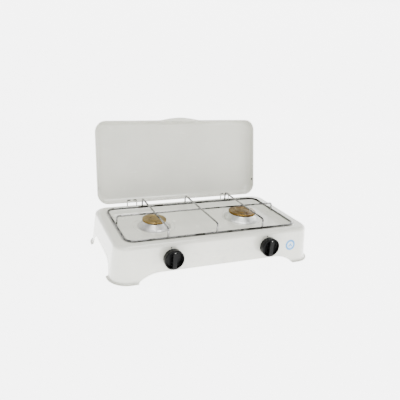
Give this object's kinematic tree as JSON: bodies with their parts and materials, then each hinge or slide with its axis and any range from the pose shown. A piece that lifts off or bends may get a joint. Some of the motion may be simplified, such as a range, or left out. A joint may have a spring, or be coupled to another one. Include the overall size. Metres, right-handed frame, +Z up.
{
  "type": "camping stove",
  "caption": "Two-burner tabletop gas camping stove: enamelled case, folding tray lid, lift-off wire pan support, brass burner caps and two taps with round knobs.",
  "frame": {"origin": "on the floor, at the middle of the case's four feet", "axes": "+X to the right seen from the front, +Y to the rear, +Z up"},
  "size_m": [0.524, 0.3506, 0.3117],
  "materials": {
    "black_plastic": "glossy black",
    "brass": "satin, slightly tarnished",
    "buffer_rubber": "matt black",
    "cast_aluminium": "cast",
    "chromed_wire": "bright chromed steel wire",
    "dark_print": "dark enamel dot",
    "enamel": "glossy off-white enamel",
    "spun_aluminium": "spun, satin",
    "steel": "zinc plated",
    "sticker": "pale blue film"
  },
  "bodies": {
    "stove": {"casing": "enamel", "index_marks": "dark_print", "badge": "sticker", "left_hinge_clip": "steel", "right_hinge_clip": "steel", "left_burner_cup": "cast_aluminium", "right_burner_cup": "cast_aluminium", "left_drip_ring": "spun_aluminium", "right_drip_ring": "spun_aluminium", "left_mixing_tube": "steel", "right_mixing_tube": "steel", "left_injector": "brass", "right_injector": "brass", "left_tap_body": "brass", "right_tap_body": "brass", "left_bonnet": "steel", "right_bonnet": "steel", "bonnet_screws": "steel", "tap_screws": "steel", "burner_screws": "steel", "gas_rail": "steel", "inlet_nipple": "brass", "inlet_nut": "brass"},
    "lid": {"lid": "enamel", "left_hinge_wire": "chromed_wire", "right_hinge_wire": "chromed_wire", "lid_buffers": "buffer_rubber"},
    "support": {"support_frame": "chromed_wire", "cross_wire": "chromed_wire", "left_bar": "chromed_wire", "centre_bar": "chromed_wire", "right_bar": "chromed_wire"},
    "left_cap": {"left_cap": "brass"},
    "left_plug": {"left_plug": "brass"},
    "left_knob": {"left_knob": "black_plastic", "left_stem": "brass", "left_spring": "steel"},
    "right_cap": {"right_cap": "brass"},
    "right_plug": {"right_plug": "brass"},
    "right_knob": {"right_knob": "black_plastic", "right_stem": "brass", "right_spring": "steel"}
  },
  "joints": [
    {"name": "lid_hinge", "type": "hinge", "parent": "stove", "child": "lid", "pos_m": [0, 0.121, 0.08], "axis": [-1, 0, 0], "range_deg": [-102, 0]},
    {"name": "support_lift", "type": "slide", "parent": "stove", "child": "support", "axis": [0, 0, 1], "range_m": [0, 0.06]},
    {"name": "left_cap_lift", "type": "slide", "parent": "stove", "child": "left_cap", "axis": [0, 0, 1], "range_m": [0, 0.008]},
    {"name": "left_tap_turn", "type": "hinge", "parent": "stove", "child": "left_plug", "pos_m": [-0.123, -0.10726, 0.054], "axis": [0, -1, 0], "range_deg": [0, 200]},
    {"name": "left_knob_push", "type": "slide", "parent": "left_plug", "child": "left_knob", "axis": [0, 1, 0], "range_m": [0, 0.0025], "stiffness_N_per_m": 400, "springref_m": -0.003, "deforming": ["left_spring"]},
    {"name": "right_cap_lift", "type": "slide", "parent": "stove", "child": "right_cap", "axis": [0, 0, 1], "range_m": [0, 0.008]},
    {"name": "right_tap_turn", "type": "hinge", "parent": "stove", "child": "right_plug", "pos_m": [0.123, -0.10726, 0.054], "axis": [0, -1, 0], "range_deg": [0, 200]},
    {"name": "right_knob_push", "type": "slide", "parent": "right_plug", "child": "right_knob", "axis": [0, 1, 0], "range_m": [0, 0.0025], "stiffness_N_per_m": 400, "springref_m": -0.003, "deforming": ["right_spring"]}
  ]
}
